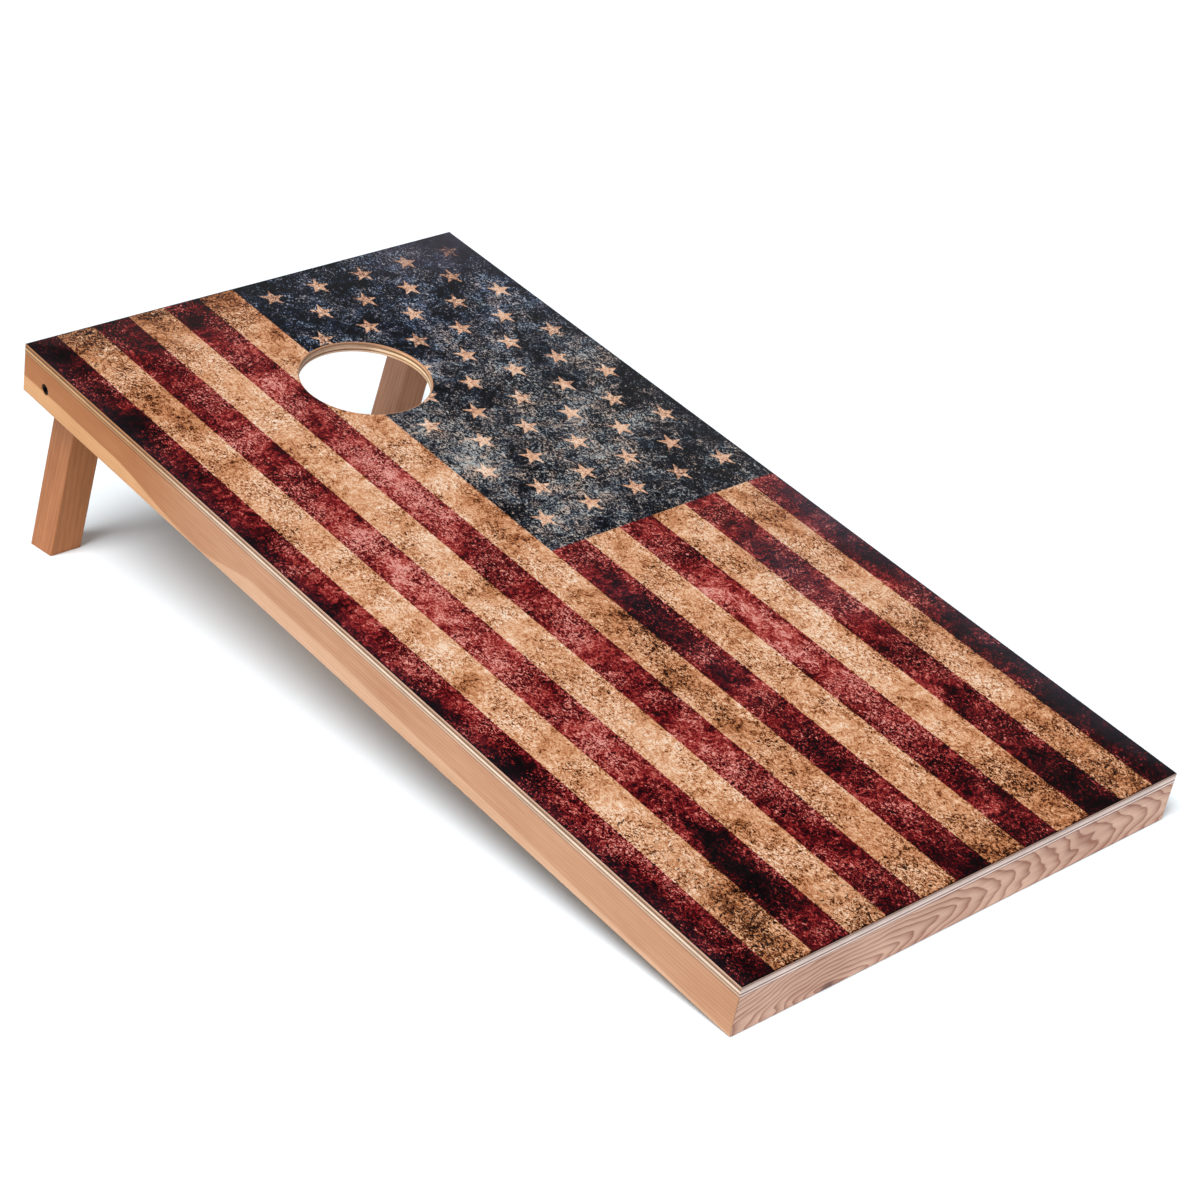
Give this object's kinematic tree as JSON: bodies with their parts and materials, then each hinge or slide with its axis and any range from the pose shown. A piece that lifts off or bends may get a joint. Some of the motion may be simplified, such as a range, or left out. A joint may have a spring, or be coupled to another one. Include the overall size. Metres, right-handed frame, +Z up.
{
  "type": "cornhole board",
  "caption": "Cornhole target board: a flag-printed plywood deck with a round bag hole on a mitred wood frame, tilted up on folding rear legs.",
  "frame": {"origin": "middle of the standing board's footprint, on the ground", "axes": "+Y along the board from its low front edge to the raised end with the hole, +Z up, +X to the right seen from the front"},
  "size_m": [0.6096, 1.2784, 0.2933],
  "materials": {
    "deck_print": "satin, distressed stars and stripes printed on birch plywood, bare ply edges",
    "side_rail_wood": "clear satin over orange-tan softwood with a pale sapwood edge",
    "end_rail_wood": "clear satin over pinkish flat-sawn softwood with arched grain",
    "block_wood": "bare planed softwood",
    "leg_wood": "clear satin over orange-brown wood, grain along the leg",
    "black_steel": "black oxide",
    "zinc_steel": "bright zinc plate"
  },
  "bodies": {
    "frame": {"deck": "deck_print", "left_rail": "side_rail_wood", "right_rail": "side_rail_wood", "front_rail": "end_rail_wood", "rear_rail": "end_rail_wood", "cross_brace": "end_rail_wood", "left_corner_block": "block_wood", "right_corner_block": "block_wood", "left_pivot_block": "block_wood", "right_pivot_block": "block_wood", "left_pivot_bolt": "black_steel", "left_outer_washer": "zinc_steel", "left_inner_washer": "zinc_steel", "left_lock_nut": "zinc_steel", "left_corner_screw": "zinc_steel", "left_block_screw_1": "zinc_steel", "left_block_screw_2": "zinc_steel", "left_rail_screw_1": "zinc_steel", "left_rail_screw_2": "zinc_steel", "left_rail_screw_3": "zinc_steel", "right_pivot_bolt": "black_steel", "right_outer_washer": "zinc_steel", "right_inner_washer": "zinc_steel", "right_lock_nut": "zinc_steel", "right_corner_screw": "zinc_steel", "right_block_screw_1": "zinc_steel", "right_block_screw_2": "zinc_steel", "right_rail_screw_1": "zinc_steel", "right_rail_screw_2": "zinc_steel", "right_rail_screw_3": "zinc_steel", "front_rail_screw_1": "zinc_steel", "rear_rail_screw_1": "zinc_steel", "brace_screw_1": "zinc_steel", "front_rail_screw_2": "zinc_steel", "rear_rail_screw_2": "zinc_steel", "brace_screw_2": "zinc_steel"},
    "left_leg": {"left_leg": "leg_wood"},
    "right_leg": {"right_leg": "leg_wood"}
  },
  "joints": [
    {"name": "left_leg_fold", "type": "hinge", "parent": "frame", "child": "left_leg", "pos_m": [-0.2486, 0.52136, 0.24863], "axis": [-1, 0, 0], "range_deg": [0, 99.98]},
    {"name": "right_leg_fold", "type": "hinge", "parent": "frame", "child": "right_leg", "pos_m": [0.2486, 0.52136, 0.24863], "axis": [-1, 0, 0], "range_deg": [0, 99.98]}
  ]
}
